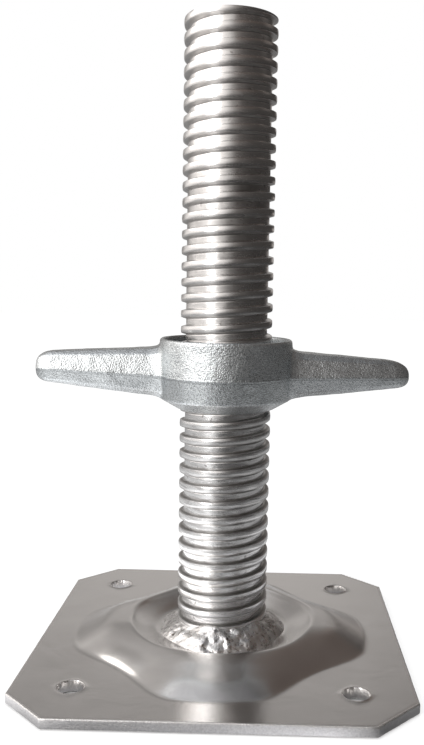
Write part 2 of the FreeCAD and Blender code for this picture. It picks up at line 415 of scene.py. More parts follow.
def stem_shade_and_dirt(tree, height, shade):
    """Mask of painted shade under the ridges and on all flanks of the lower part, and of dirt in the grooves
    halfway up.
    """
    groove = mark_of(tree, "groove")
    # Painted shade under every ridge, stronger on the lower stem.
    under = join("POWER", mark_of(tree, "under"), 0.6)
    under = times(under, ramp(height, *LOWER_STEM, 0.5, 0.8))
    zone = times(ramp(height, *DIRT_ENDS), ramp(height, *DIRT_GROWS, 0.15, 1.0))
    dirt = times(times(ramp(shade, 0.1, 0.9, 0.15, 0.7), groove), zone)
    # Painted shade on every flank of the lower stem.
    flank = times(groove, join("SUBTRACT", 1.0, groove))
    flank = times(flank, ramp(height, *LOWER_STEM, 0.0, 3.2))
    return join("MAXIMUM", join("MAXIMUM", under, dirt), flank)


def make_stem_finish():
    """Bright zinc with streaks along the thread, even above and rubbed below, dulled by painted shade, dirt
    and pits.
    """
    material, tree, shader, coords = new_finish("stem_zinc")
    height = add_node(tree, "ShaderNodeSeparateXYZ", Vector=coords).outputs["Z"]
    cloud = place_group(CLOUD, coords, Scale=60.0)["Shade"]
    pits = place_group(GRAIN, coords, Scale=700.0, Pits=420.0)["Pits"]
    flat = add_node(tree, "ShaderNodeMapping", Vector=coords, Scale=(1.0, 1.0, 8.0))
    streak = place_group(CLOUD, flat.outputs["Vector"], Scale=95.0)["Shade"]
    shade_and_dirt = stem_shade_and_dirt(tree, height, cloud)
    even = mix(streak, (0.76, 0.75, 0.745), (0.92, 0.91, 0.905))
    rubbed = mix(ramp(streak, 0.1, 0.5), (0.64, 0.63, 0.63), (1.0, 1.0, 1.0))
    zinc = mix(ramp(height, *LOWER_STEM), even, rubbed)
    # Painted shade and dirt darken the zinc.
    shaded_and_dirty = mix(shade_and_dirt, zinc, (0.2, 0.19, 0.18))
    pitted = times(pits, times(mark_of(tree, "groove"), 0.6))
    colour = mix(pitted, shaded_and_dirty, (0.3, 0.28, 0.27))
    roughness = join("ADD", ramp(streak, 0.0, 1.0, 0.28, 0.17), times(shade_and_dirt, 0.2))
    marks = times(streak, ramp(height, *LOWER_STEM, 0.3, 1.0))
    finish_with(shader, colour, roughness, bump(marks, 0.0001, 0.33))
    return material


dress("stem", stem_mesh, "threaded_stem", "base", make_stem_finish())

# %% [markdown]
# ## The pressed foot plate
# The foot is one sheet, sheared at the corners and pressed up into a ring round a dish: four lobes that end
# in a rounded nose, and a scoop on each diagonal. Sculpting could give such a form. Here its height is a
# formula of the distance from the stem and from the scoops' centres, so every bend has a number.

# %% Pressed form
HALF_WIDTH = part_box("base_plate")[1][0] / MM
CORNER_CUT, SHEET, PRESS = 17.0, 4.0, 8.0
RING_RADII = [0.0, 27.0, 38.5, 47.5, 61.5, 63.2, 90.0]
RING_HEIGHTS = [2.5, 2.5, 8.0, 6.8, 0.0, -0.83, -0.83]
SCOOP_CENTRE, SCOOP_RADIUS, SCOOP_RUN = 103.0, 50.0, 12.7
DISH_RIM, RIM_STEP, LIP = 38.4, 0.3, 0.8


def soft_profile(radius, soften):
    """The ring's rise and fall along a radius, averaged over a short length so that its bends are round."""
    steps = np.linspace(-1.0, 1.0, 9)
    weights = np.cos(steps * math.pi / 2) ** 2
    heights = [weight * np.interp(radius + soften * step, RING_RADII, RING_HEIGHTS)
               for step, weight in zip(steps, weights)]
    return sum(heights) / weights.sum()


def hard_foot(x, y):
    """Strongest at the foot of the front left scoop, where the pressing ends in a hard line."""
    return np.exp(-(((x + 38.0) ** 2 + (y + 35.5) ** 2) / 130.0) ** 2)


def press_height(x, y):
    """Height of the pressing above the sheet: the ring's form, cut by the scoops and never below the sheet,
    with a small step at the dish's rim, a hard lip at one scoop and a slow warp."""
    radius = np.hypot(x, y)
    centre = SCOOP_CENTRE * math.sqrt(0.5)
    scoop = (np.hypot(np.abs(x) - centre, np.abs(y) - centre) - SCOOP_RADIUS) * PRESS / SCOOP_RUN
    soften = 2.0 + 3.5 * soft_step((radius - 40.0) / 6.0) - 3.0 * soft_step((radius - 52.0) / 8.0)
    ahead = np.clip(-y / np.maximum(radius, 1.0), 0.0, 1.0) ** 4
    crest = soft_profile(radius, soften) - 0.9 * ahead * np.exp(-((radius - 48.0) / 4.5) ** 2)
    form = soft_min(crest, scoop, 6.0)
    step = RIM_STEP * band(radius, 30.0, 6.0, DISH_RIM, 2.0) * soft_step((scoop - PRESS) / 3.0)
    spot = np.stack([x, y, np.zeros_like(x)], axis=-1)
    warp = 0.10 * lumps(spot, 21.0, 12) + 0.025 * lumps(spot, 8.0, 13)
    rise = -soft_min(-form, 0.0, 0.6)
    lip = LIP * hard_foot(x, y) * band(rise, 0.0, 1.1, 5.0, 3.0)
    return rise + lip - step + warp * soft_step(rise / 2.0)


print("pressed height in the dish, on the crest and on a diagonal:",
      np.round(press_height(np.array([0.0, 39.0, 33.0]), np.array([0.0, 0.0, 33.0])), 2))

# %% [markdown]
# The points lie on rings, closest where the pressing bends, which change from circles in the middle to the
# sheared outline at the edge. Two marks travel with them: where the metal was sheared, and where it is
# bright:
# a painted highlight along the foot of the pressing, a bright line on the edge's upper corner, and rubbed
# metal at the nick in the front edge.

# %% Rings of the plate
INNER_RIM = 64.0
CORNER = math.atan2(HALF_WIDTH - CORNER_CUT, HALF_WIDTH)
QUARTER = np.concatenate([np.linspace(0, CORNER, 29)[:-1], np.linspace(CORNER, math.pi / 2 - CORNER, 25)[:-1],
                          np.linspace(math.pi / 2 - CORNER, math.pi / 2, 29)[:-1]])
PLATE_ANGLES = np.concatenate([QUARTER + quarter * math.pi / 2 for quarter in range(4)])
CIRCLES = np.concatenate([[0.0, 7.0, 13.0], np.arange(17.0, 35.0, 0.94), np.arange(35.2, 40.3, 0.45),
                          np.linspace(41.0, INNER_RIM, 44)])
SPREADS = np.array([0.05, 0.15, 0.25, 0.35, 0.45, 0.55, 0.65, 0.75, 0.84, 0.92])
EDGE_INSETS = np.array([0.9, 0.35, 0.08, 0.0, 0.0, 0.0, 0.1, 0.5])
EDGE_LEVELS = np.array([4.0, 3.93, 3.72, 3.4, 2.2, 0.9, 0.3, 0.0])
EDGE_TORN = np.array([0.0, 0.2, 0.6, 1.0, 1.0, 1.0, 0.6, 0.0])


def outline_distance(angle):
    """Distance from the middle to the sheared outline: the nearest of two sides and a corner cut."""
    across, along = np.abs(np.cos(angle)), np.abs(np.sin(angle))
    side = HALF_WIDTH / np.maximum(across, along)
    return np.minimum(side, (2 * HALF_WIDTH - CORNER_CUT) / (across + along))


def painted_foot_highlight(x, y):
    """Painted highlight along the foot of the pressing, where it has just left the sheet: strong at one
    scoop, thin and broken elsewhere."""
    spot = np.stack([x, y, np.zeros_like(x)], axis=-1)
    broken = soft_step(0.35 + 0.9 * lumps(spot, 9.0, 21))
    rise = press_height(x, y)
    nose = soft_step((np.abs(x) - 54.0) / 4.0)
    thin = np.exp(-((rise - 0.45) / 0.35) ** 2) * (0.2 + 0.5 * nose) * broken
    return np.clip(thin + np.exp(-((rise - 0.9) / 0.75) ** 2) * hard_foot(x, y), 0.0, 1.0)


def plate_sheet():
    """All rings from the top's middle over the sheared edge to the underside's middle, and their marks."""
    edge = outline_distance(PLATE_ANGLES)
    radii = np.concatenate([CIRCLES[:, None] + 0 * edge, INNER_RIM + (edge - INNER_RIM) * SPREADS[:, None]])
    x, y = radii * np.cos(PLATE_ANGLES), radii * np.sin(PLATE_ANGLES)
    rise = press_height(x, y)
    rim, levels = edge - EDGE_INSETS[:, None], EDGE_LEVELS[:, None]
    spot = round_points(rim, PLATE_ANGLES, levels)
    torn = EDGE_TORN[:, None] * (lumps(spot, 1.6, 3) - 0.4) * 0.14
    nick = np.exp(-((spot[..., 0] + 48.5) / 2.8) ** 4) * (spot[..., 1] < -70.0)
    rim = round_points(rim + torn + 0.4 * nick * lumps(spot, 1.3, 8), PLATE_ANGLES, levels)
    points = np.concatenate([np.stack([x, y, rise + SHEET], -1), rim, np.stack([x, y, rise], -1)[::-1]])
    sheared, rubbed = marks = np.zeros((2, *points.shape[:2]))
    sheared[len(x) + 1:len(x) + len(EDGE_LEVELS) - 1] = 1.0
    # Painted highlight along the foot of the pressing.
    rubbed[:len(x)] = painted_foot_highlight(x, y)
    # A bright line on the upper corner of the sheared edge.
    rubbed[len(x) + 1] = 0.8
    around = slice(len(x) - 1, len(x) + 4)
    rubbed[around] = np.maximum(rubbed[around], nick[:5] * soft_step(lumps(spot[:5], 1.7, 4)))
    return points, marks


plate_points, plate_marks = plate_sheet()
print("rings and columns of the plate:", plate_points.shape[:2])

# %% [markdown]
# Where a fixing hole goes, a window of the rings is left out. Its rim is a closed loop of sheet points, and
# rings between that loop and the hole's circle are blends of the two. The punched rim stands up a little.

# %% Holes
HOLE_PLACE, HOLE_RADIUS, BURR = 52.5, 5.0, 0.28
WINDOW_ROWS = (len(CIRCLES), len(CIRCLES) + 6)
WINDOW_HALF = 11


def window_loop(table, first, last, middle):
    """Point numbers round a window of the sheet, taken once round its four sides."""
    columns = np.arange(middle - WINDOW_HALF, middle + WINDOW_HALF + 1)
    rows = np.arange(first, last + 1)
    return np.concatenate([table[first, columns[:-1]], table[rows[:-1], columns[-1]],
                           table[last, columns[:0:-1]], table[rows[:0:-1], columns[0]]])


def hole_fan(loop, centre, level, burr):
    """Rings from a window's loop to a hole's circle at one level, with a rim raised by a burr."""
    away = loop[:, :2] - centre
    circle = centre + away / np.linalg.norm(away, axis=1, keepdims=True) * HOLE_RADIUS
    shares = np.array([0.0, 0.3, 0.55, 0.75, 0.9, 0.97, 1.0])
    lift = np.array([0.0, 0.0, 0.0, 0.1, 0.75, 1.0, 0.3]) * burr
    flat = loop[:, :2] + (circle - loop[:, :2]) * shares[:, None, None]
    return np.stack(np.broadcast_arrays(flat[..., 0], flat[..., 1], (level + lift)[:, None]), axis=-1)


def by_angle(ring, centre):
    """The points of a ring in the order of their angles round a centre."""
    away = ring[:, :2] - centre
    return ring[np.argsort(np.arctan2(away[:, 1], away[:, 0]))]


print("points round each hole:", 2 * (2 * WINDOW_HALF + WINDOW_ROWS[1] - WINDOW_ROWS[0]))

# %% [markdown]
# The sheet, less its four windows, takes in the holes one at a time: a fan on each face and the wall between
# them. The two circles of a wall run opposite ways, so both are sorted by angle.

# %% The whole plate
def make_plate():
    """The sheet less its windows, a fan round each hole on both faces, and the holes' walls."""
    rows, columns = plate_points.shape[:2]
    table = number_table(plate_points)
    keep = np.ones((rows - 1, columns), dtype=bool)
    flat = plate_points.reshape(-1, 3)
    points, marks, extra = [flat], [plate_marks.reshape(2, -1)], []
    first, last = WINDOW_ROWS
    faces = ((first, last, SHEET, BURR), (rows - 1 - last, rows - 1 - first, 0.0, 0.0))
    for quarter in range(4):
        middle = quarter * len(QUARTER) + len(QUARTER) // 2
        angle = math.pi / 4 + quarter * math.pi / 2
        centre = HOLE_PLACE * math.sqrt(2) * np.array([math.cos(angle), math.sin(angle)])
        fans = []
        for low, high, level, burr in faces:
            keep[low:high, middle - WINDOW_HALF:middle + WINDOW_HALF] = False
            fans.append(hole_fan(flat[window_loop(table, low, high, middle)], centre, level, burr))
        wall = np.stack([by_angle(fan[-1], centre) for fan in fans])
        for part in (*fans, wall):
            extra.append(sheet_quads(wrapped(number_table(part).T)) + sum(map(len, points)))
            points.append(part.reshape(-1, 3))
            torn = np.repeat(np.linspace(0.0, 1.0, part.shape[0]) > 0.85, part.shape[1])
            marks.append(np.stack([torn, 0.0 * torn]))
    quads = sheet_quads(wrapped(table.T)).reshape(columns, rows - 1, 4).transpose(1, 0, 2)[keep]
    mesh = mesh_from("plate_surface", np.concatenate(points), np.concatenate([quads, *extra]),
                     zip(("sheared", "rubbed"), np.concatenate(marks, axis=1)))
    mesh.set_sharp_from_angle(angle=math.radians(60))
    return mesh


plate_mesh = make_plate()
print("plate faces:", len(plate_mesh.polygons))

# %% [markdown]
# The sheet is satin zinc with a slow cloud in it and a slow wave, which bends what it mirrors. The sheared
# edges and the punched rims are torn metal under the same plating, so they are rough. Rubbed metal is bare
# and bright, and the same near white is painted as a highlight along the foot of the pressing.

# %% Satin zinc of the plate
def make_plate_finish():
    """Satin zinc with a cloud and a wave, torn metal on the sheared edges, and bright lines: rubbed metal and
    painted highlights.
    """
    material, tree, shader, coords = new_finish("plate_zinc")
    cloud = place_group(CLOUD, coords, Scale=28.0)["Shade"]
    drift = place_group(CLOUD, coords, Scale=45.0)["Shade"]
    grain = place_group(GRAIN, coords, Scale=1500.0, Pits=260.0)["Height"]
    edge = mark_of(tree, "sheared")
    zinc = mix(cloud, (0.80, 0.785, 0.775), (0.89, 0.875, 0.865))
    torn = mix(grain, (0.45, 0.44, 0.44), (0.85, 0.84, 0.83))
    plain = mix(edge, zinc, torn)
    # Near white for painted highlights along the pressing's foot, a bright line on the edge's upper corner
    # and rubbed metal at the nick.
    colour = mix(mark_of(tree, "rubbed"), plain, (0.97, 0.96, 0.95))
    roughness = join("ADD", ramp(cloud, 0.0, 1.0, 0.21, 0.27), times(edge, 0.22))
    normal = bump(times(grain, edge), 0.0003, 0.8, bump(drift, 0.0002, 0.35))
    finish_with(shader, colour, roughness, normal)
    return material


dress("foot_plate", plate_mesh, "base_plate", "base", make_plate_finish())

# %% [markdown]
# ## The weld
# A hand-laid fillet weld runs round the foot of the stem. Its surface is a ring: the bead's section is
# carried round the stem, its size swells and shrinks as the torch moved on, and it climbs higher in front
# than behind. Lumps at three scales make it look poured, and dark flakes lie on the bright plating.

# %% Weld bead
WELD_LOW, WELD_HIGH = (corner[2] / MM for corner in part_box("weld_bead"))
WELD_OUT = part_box("weld_bead")[1][0] / MM
WELD_ROOT, WELD_SINK, WELD_FRONT = 18.2, 0.2, math.radians(286)


def make_weld():
    """A ring of sections: from inside the stem's wall down over the bead's slope and into the plate."""
    angle = np.linspace(0, 2 * math.pi, 300, endpoint=False)[:, None]
    across = np.linspace(0, 1, 30)[None, :]
    swell = 1.0 + 0.06 * np.sin(3 * angle + 0.7) + 0.05 * np.sin(7 * angle + 2.1)
    swell = swell + 0.22 * np.exp(-((angle - 5.6) / 0.25) ** 2)
    lean = across * math.pi / 2
    climb = np.maximum(0.66 + 0.36 * np.cos(angle - WELD_FRONT), 0.5)
    radius = WELD_ROOT + (WELD_OUT - WELD_ROOT) * swell * np.sin(lean) ** 1.8
    low = WELD_LOW - WELD_SINK
    height = (WELD_HIGH - WELD_LOW) * (climb * swell)
    points = round_points(radius, angle, low + (height + WELD_SINK) * np.cos(lean) ** 1.8)
    push = 0.45 * lumps(points, 4.0, 5) + 0.3 * lumps(points, 2.0, 6) + 0.12 * lumps(points, 1.0, 7)
    push = push * np.sin(across * math.pi) ** 0.5
    points = points + push[..., None] * round_points(np.sin(lean), angle, np.cos(lean))
    points = np.concatenate([points, round_points(WELD_ROOT, angle, low)], axis=1)
    return mesh_from("weld_surface", points.reshape(-1, 3), section_quads(points))


def make_weld_finish():
    """Plated spatter: bright silver with dark flakes and pits."""
    material, _, shader, coords = new_finish("weld_metal")
    cloud = place_group(CLOUD, coords, Scale=110.0)["Shade"]
    grain = place_group(GRAIN, coords, Scale=520.0, Pits=380.0)
    height = grain["Height"]
    silver = mix(cloud, (0.7, 0.68, 0.67), (1.0, 0.99, 0.98))
    flaked = mix(ramp(height, 0.46, 0.34, 0.0, 0.45), silver, (0.25, 0.24, 0.23))
    colour = mix(grain["Pits"], flaked, (0.13, 0.11, 0.10))
    finish_with(shader, colour, ramp(height, 0.3, 0.7, 0.18, 0.42), bump(height, 0.0006, 0.6))
    return material


dress("weld", make_weld(), "weld_bead", "base", make_weld_finish())

# %% [markdown]
# ## The wing nut
# The nut is a sand casting: a bevelled body with a cup on top and two drafted wings, all run together with
# soft fillets. The body is a closed section carried round the axis. A wing is a row of sections carried
# outwards, each with flanks that lean away from the mould's parting. The left wing's parting rises a little,
# and the right wing's tip is worn rounder.

# %% Body and wings
NUT_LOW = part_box("wing_nut")[0][2] / MM
PARTING, PARTING_LIFT = 14.0, 2.0
WING_INNER, WING_BEND = 26.6, 66.0
RIGHT_WING = dict(side=1, end=76.7, upper=(8.0, 2.6), lower=(7.6, 4.2), blunt=2.2, lift=0.0)
LEFT_WING = dict(side=-1, end=77.9, upper=(8.7, 3.25), lower=(7.6, 2.6), blunt=3, lift=PARTING_LIFT)


def nut_body():
    """The body's closed section carried round the axis: foot, bevel, wall, rim, cup and bore."""
    section = np.array([[19.3, 0.0], [20.2, 0.0], [23.8, 2.1], [27.2, 4.1], [27.9, 9.0], [28.6, 14.0],
                        [28.1, 19.5], [27.7, 24.5], [27.4, 28.0], [26.9, 28.75], [26.2, 28.75], [25.6, 28.2],
                        [25.6, 23.5], [25.6, 19.9], [25.2, 19.5], [22.0, 19.5], [19.3, 19.5], [19.3, 10.0]])
    angle = np.linspace(0, 2 * math.pi, 200, endpoint=False)[:, None]
    points = round_points(section[:, 0], angle, section[:, 1])
    return points.reshape(-1, 3), section_quads(points)


def nut_wing(side, end, upper, lower, blunt, lift):
    """A wing's sections from the body's round wall to the blunt tip. Upper and lower give each half's height
    at the root and what it loses on the way out."""
    share = np.concatenate([[0.0], np.linspace(0.0, 0.82, 40),
                            0.82 + 0.18 * np.sin(np.linspace(0.04, 0.5, 18) * math.pi)])
    out = WING_INNER + (end - WING_INNER) * share
    along = np.clip((out - 20.0) / 49.0, 0.0, 1.0)
    taper = np.clip((out - WING_BEND) / (end - WING_BEND), 0.0, 1.0)
    tip, upper_tip = ((1.0 - taper ** power) ** (1 / power) for power in (3, blunt))
    flare = np.clip(1.0 - (out - 27.6) / 6.0, 0.0, 1.2) ** 2
    half = (12.5 - 5.0 * along) * tip + 1.2 * flare
    above = (upper[0] - upper[1] * along) * upper_tip + 0.5 * flare
    below = (lower[0] - lower[1] * along) * tip + 0.2 * flare
    half[0] = above[0] = below[0] = 0.0
    edge_up, edge_down = half - 0.36 * above, half - 0.36 * below
    across, crown = np.array([1.0, 0.6, 0.0, -0.6, -1.0]), np.array([0.0, 0.85, 1.0, 0.85, 0.0])
    zero = np.zeros_like(half)
    y = np.column_stack([half, np.outer(edge_up, across), -half, np.outer(edge_down, -across)])
    z = np.column_stack([zero, above[:, None] + np.outer(0.29 * edge_up, crown),
                         zero, -below[:, None] - np.outer(0.29 * edge_down, crown)])
    start = np.sqrt(WING_INNER ** 2 - y ** 2)
    x = start + (end - start) * share[:, None]
    points = np.stack([side * x, side * y, z + PARTING + lift * along[:, None]], axis=-1)
    return points.reshape(-1, 3), section_quads(points, full_circle=False)


nut_skins = [nut_body(), nut_wing(**RIGHT_WING), nut_wing(**LEFT_WING)]
print("points of the three skins:", [len(points) for points, quads in nut_skins])

# %% [markdown]
# Booleans would leave hard creases between the skins. Voxels fuse them into one skin instead, and smoothing
# the fused mesh gives the casting its fillets.

# %% Fusing and softening
def fuse_skins(skins, voxel):
    """One closed mesh from several overlapping closed skins, in millimetres."""
    starts = np.cumsum([0] + [len(points) for points, quads in skins])
    quads = np.concatenate([quads + start for (points, quads), start in zip(skins, starts)])
    rough = mesh_from("nut_skins", np.concatenate([points for points, quads in skins]), quads)
    carrier = put("nut_skins", rough)
    fuse = carrier.modifiers.new("fuse", "REMESH")
    fuse.mode = "VOXEL"
    fuse.voxel_size = voxel * MM
    fused = bpy.data.meshes.new_from_object(carrier.evaluated_get(bpy.context.evaluated_depsgraph_get()))
    bpy.data.objects.remove(carrier)
    bpy.data.meshes.remove(rough)
    return fused


def smooth_points(points, edges, rounds):
    """Moves each point towards the mean of its neighbours and partly back, to soften without shrinking."""
    ends = np.concatenate([edges, edges[:, ::-1]])
    neighbours = np.bincount(ends[:, 0], minlength=len(points))[:, None]
    for step in np.tile([0.5, -0.47], rounds):
        total = np.stack([np.bincount(ends[:, 0], weights=points[ends[:, 1], axis], minlength=len(points))
                          for axis in range(3)], axis=1)
        points = points + step * (total / neighbours - points)
    return points


nut_mesh = fuse_skins(nut_skins, 0.62)
print("fused casting:", len(nut_mesh.vertices), "points")

# %% [markdown]
# The softened skin gets what a sand mould leaves, a slight swelling unevenness, and the turn that the nut has
# on the stem.

# %% Casting marks
NUT_TURN = math.radians(3.8)


def read_array(items, name, width, kind):
    """One value of all items of a mesh, as rows of a width."""
    values = np.empty(len(items) * width, dtype=kind)
    items.foreach_get(name, values)
    return values.reshape(-1, width)


def write_points(mesh, points):
    """Moves all points of a mesh to places in millimetres."""
    mesh.vertices.foreach_set("co", (points * MM).astype(np.float32).ravel())
    mesh.update()


def finish_casting(mesh):
    """Softens the fused skin, pushes its outside in and out by lumps, and turns and lifts it into place."""
    points = read_array(mesh.vertices, "co", 3, np.float32).astype(float) / MM
    points = smooth_points(points, read_array(mesh.edges, "vertices", 2, np.int32), 5)
    write_points(mesh, points)
    normals = read_array(mesh.vertex_normals, "vector", 3, np.float32).astype(float)
    outside = soft_step((np.hypot(points[:, 0], points[:, 1]) - 26.3) / 1.0)
    push = outside * (0.14 * lumps(points, 6.0, 9) + 0.07 * lumps(points, 2.4, 10))
    points = points + push[:, None] * normals
    turn = np.array(Matrix.Rotation(NUT_TURN, 3, "Z"))
    write_points(mesh, points @ turn.T + np.array([0.0, 0.0, NUT_LOW]))
    mesh.shade_smooth()
    return mesh


finish_casting(nut_mesh)
print("nut turned by", round(math.degrees(NUT_TURN), 1), "degrees")

# %% [markdown]
# The casting is grey zinc over sand grain: pebbles and pits in relief, dark speckles between them. The two
# halves of the mould leave a thin fin along the parting with a dark foot. It is finer than the mesh, so it is
# part of the relief.

# %% Cast zinc of the nut
def parting_line(level, below):
    """1 on a thin line a length below a level, and 0 half a millimetre away from it."""
    return ramp(join("ABSOLUTE", join("ADD", level, below)), 0.0006, 0.0001)


def make_nut_finish():
    """Grey zinc with speckles and pits over cast grain, and a fin along the slightly wandering parting."""
    material, tree, shader, coords = new_finish("cast_zinc", 0.88)
    cloud = place_group(CLOUD, coords, Scale=55.0)["Shade"]
    grain = place_group(GRAIN, coords, Scale=1700.0, Pits=1000.0)
    height = grain["Height"]
    sand = add_node(tree, "ShaderNodeTexVoronoi", Vector=coords, Scale=1500.0)
    pebbles = ramp(sand.outputs["Distance"], 0.0, 0.75, 1.0, 0.0)
    axes = add_node(tree, "ShaderNodeSeparateXYZ", Vector=coords).outputs
    lift = ramp(axes["X"], -0.020, -0.069, 0.0, PARTING_LIFT * MM)
    wander = join("SUBTRACT", times(cloud, 0.0005), lift)
    level = join("ADD", join("SUBTRACT", axes["Z"], (NUT_LOW + PARTING) * MM), wander)
    zinc = mix(cloud, (0.57, 0.60, 0.615), (0.74, 0.775, 0.79))
    speckled = mix(ramp(height, 0.5, 0.36, 0.0, 0.6), zinc, (0.24, 0.255, 0.26))
    pitted = mix(ramp(grain["Pits"], 0.0, 1.0, 0.0, 0.7), speckled, (0.22, 0.23, 0.23))
    colour = mix(times(parting_line(level, 0.0006), 0.3), pitted, (0.10, 0.11, 0.11))
    relief = join("ADD", height, times(pebbles, 0.5))
    relief = join("ADD", relief, times(parting_line(level, 0.0), 0.6))
    finish_with(shader, colour, ramp(height, 0.3, 0.7, 0.16, 0.27), bump(relief, 0.00019, 0.85))
    return material


dress("cast_wing_nut", nut_mesh, "wing_nut", "nut", make_nut_finish())

# %% [markdown]
# ## Studio
# The jack stands on a pale floor in a white studio. The camera sees white round the plate, and under the
# plate the floor stays plain, so that the sheet's edge keeps its shadow.

# %% World and floor
def is_shown(tree):
    """1 for what the camera, a reflection or a view through glass sees, and 0 for plain light."""
    seen = tree.nodes.new("ShaderNodeLightPath").outputs
    shown = join("MAXIMUM", seen["Is Camera Ray"], seen["Is Glossy Ray"])
    return join("MAXIMUM", shown, seen["Is Transmission Ray"])


def make_world():
    """White to the camera and in reflections, and a soft even light for everything else."""
    world = bpy.data.worlds.new("studio")
    world.use_nodes = True
    bpy.context.scene.world = world
    back = world.node_tree.nodes["Background"]
    feed(back.inputs["Color"], (1.0, 1.0, 1.0, 1.0))
    feed(back.inputs["Strength"], ramp(is_shown(world.node_tree), 0.0, 1.0, 0.55, 1.0))
    world.cycles.sampling_method = "NONE"


def bare_material(name):
    """A material with nothing but its output: gives the material, its tree and the Surface input."""
    material = bpy.data.materials.new(name)
    material.use_nodes = True
    tree = material.node_tree
    tree.nodes.clear()
    return material, tree, tree.nodes.new("ShaderNodeOutputMaterial").inputs["Surface"]


def make_floor(size=3.0, low=-0.0003, cut=0.564):
    """A pale floor: its own diffuse colour, with white added outside the plate's outline for the camera and
    for reflections. The cut scales the corners' distance to that of the sides."""
    material, tree, surface = bare_material("pale_floor")
    coords = tree.nodes.new("ShaderNodeTexCoord").outputs["Object"]
    axes = add_node(tree, "ShaderNodeSeparateXYZ", Vector=coords).outputs
    across, along = (join("ABSOLUTE", axes[axis]) for axis in ("X", "Y"))
    corner = times(join("ADD", across, along), cut)
    reach = join("MAXIMUM", join("MAXIMUM", across, along), corner)
    strength = times(is_shown(tree), ramp(reach, 0.0735, 0.0755, 0.0, 0.6))
    both = tree.nodes.new("ShaderNodeAddShader")
    diffuse = add_node(tree, "ShaderNodeBsdfDiffuse", Color=(0.8, 0.8, 0.8, 1.0))
    white = add_node(tree, "ShaderNodeEmission", Color=(1.0, 1.0, 1.0, 1.0), Strength=strength)
    feed(both.inputs[0], diffuse.outputs[0])
    feed(both.inputs[1], white.outputs[0])
    feed(surface, both.outputs[0])
    mesh = bpy.data.meshes.new("floor")
    corners = [(-size, -size, low), (size, -size, low), (size, size, low), (-size, size, low)]
    mesh.from_pydata(corners, [], [(0, 1, 2, 3)])
    mesh.materials.append(material)
    floor = put("floor", mesh)


make_world()
make_floor()
print("floor and white surroundings are up")

# %% [markdown]
# Bare metal shows nothing but its surroundings, so a room is what gives it form. It is a dome with painted
# tones, as a studio has walls and flags: a bright window side on the left, a dark side on the right, a grey
# wall behind. Its brightness is a formula of two angles: the turn, 0 at the camera and growing to the right,
# and the rise.

# %% Tones of the room
SIDE_TURNS = [-180, -150, -128, -105, -70, -52, -34, -22, -12, -3, 6, 19, 36, 60, 90, 125, 180]
SIDE_TONES = [0.3, 0.38, 0.8, 1.05, 1.08, 1.06, 1.06, 1.0, 0.76, 0.43, 0.22, 0.11, 0.07, 0.05, 0.045, 0.05,
              0.06]


def side_tones(turn, rise):
    """The sides, which lean with the rise, run into the ceiling; the window side is brightest high up."""
    moved = turn - np.interp(rise, [0, 4, 10, 17, 32], [-0.5, 0.5, 4.0, 7.5, 9.0])
    moved = moved + 0.42 * (turn + 5.0) * np.exp(-((turn + 5.0) / 25.0) ** 2) * soft_step((12.0 - rise) / 9.0)
    window = band(turn, -118.0, 14.0, -20.0, 20.0)
    sides = np.interp(moved, SIDE_TURNS, SIDE_TONES) * (1.0 + window * soft_step((rise - 10.0) / 10.0))
    sides = sides + 0.12 * soft_step((rise - 23.0) / 7.0) * band(turn, 85.0, 20.0, 130.0, 15.0)
    lateral = np.sin(np.radians(turn)) * np.cos(np.radians(rise))
    overhead = np.interp(lateral, [-1.0, -0.6, -0.35, -0.13, 0.0, 0.1, 0.2, 0.5, 1.0],
                         [0.9, 0.92, 0.95, 0.74, 0.44, 0.25, 0.19, 0.15, 0.1])
    high = soft_step((rise - 22.0) / 36.0)
    return sides * (1.0 - high) + overhead * high + 1.3 * window * band(rise, 32.0, 14.0, 84.0, 14.0)


def wall_tones(turn, rise):
    """The wall behind and how much of it shows: it is darker towards both of its sides."""
    past = turn % 360.0 - 180.0
    wall = np.interp(rise, [0, 5, 10, 15, 18, 22, 27, 35, 50],
                     [0.5, 0.47, 0.46, 0.51, 0.58, 0.48, 0.33, 0.28, 0.26])
    wall = wall * (1.0 - 0.28 * soft_step((-past - 4.0) / 14.0) * soft_step((rise - 8.0) / 5.0))
    wall = wall * (1.0 - 0.15 * soft_step((past - 8.0) / 14.0))
    edge = np.interp(rise, [0, 3, 5, 10, 12, 15, 18, 90], [170, 170, 140, 140, 166, 166, 150, 150])
    behind = np.where(turn < 0, soft_step((-turn - 138.0) / 24.0), soft_step((turn - edge) / 10.0))
    return wall, behind * (1.0 - soft_step((rise - 35.0) / 25.0))


def room_tones(turn, rise):
    """Brightness of the room: its sides, the wall, a dark strip low down behind, and a dip on the left."""
    tone = side_tones(turn, rise)
    wall, behind = wall_tones(turn, rise)
    tone = tone + (wall - tone) * behind
    strip = np.maximum(soft_step((-turn - 128.0) / 12.0), soft_step((turn - 168.0) / 5.0))
    strip = strip * band(rise, 4.0, 3.0, 15.0, 3.0)
    dip = band(turn, -155.0, 12.0, -112.0, 10.0) * band(rise, 32.0, 6.0, 62.0, 10.0)
    above = 1.0 - 0.34 * soft_step((rise - 34.0) / 9.0)
    return tone * (1.0 - 0.35 * strip) * (1.0 - 0.28 * dip) * above


print("room on the left, in front and on the right:",
      np.round(room_tones(np.array([-70.0, 0.0, 70.0]), np.full(3, 15.0)), 2))

# %% [markdown]
# The floor that the metal mirrors is painted too, in bands round the plate that run into each other. Each
# band has a distance in metres and a brightness for each turn.

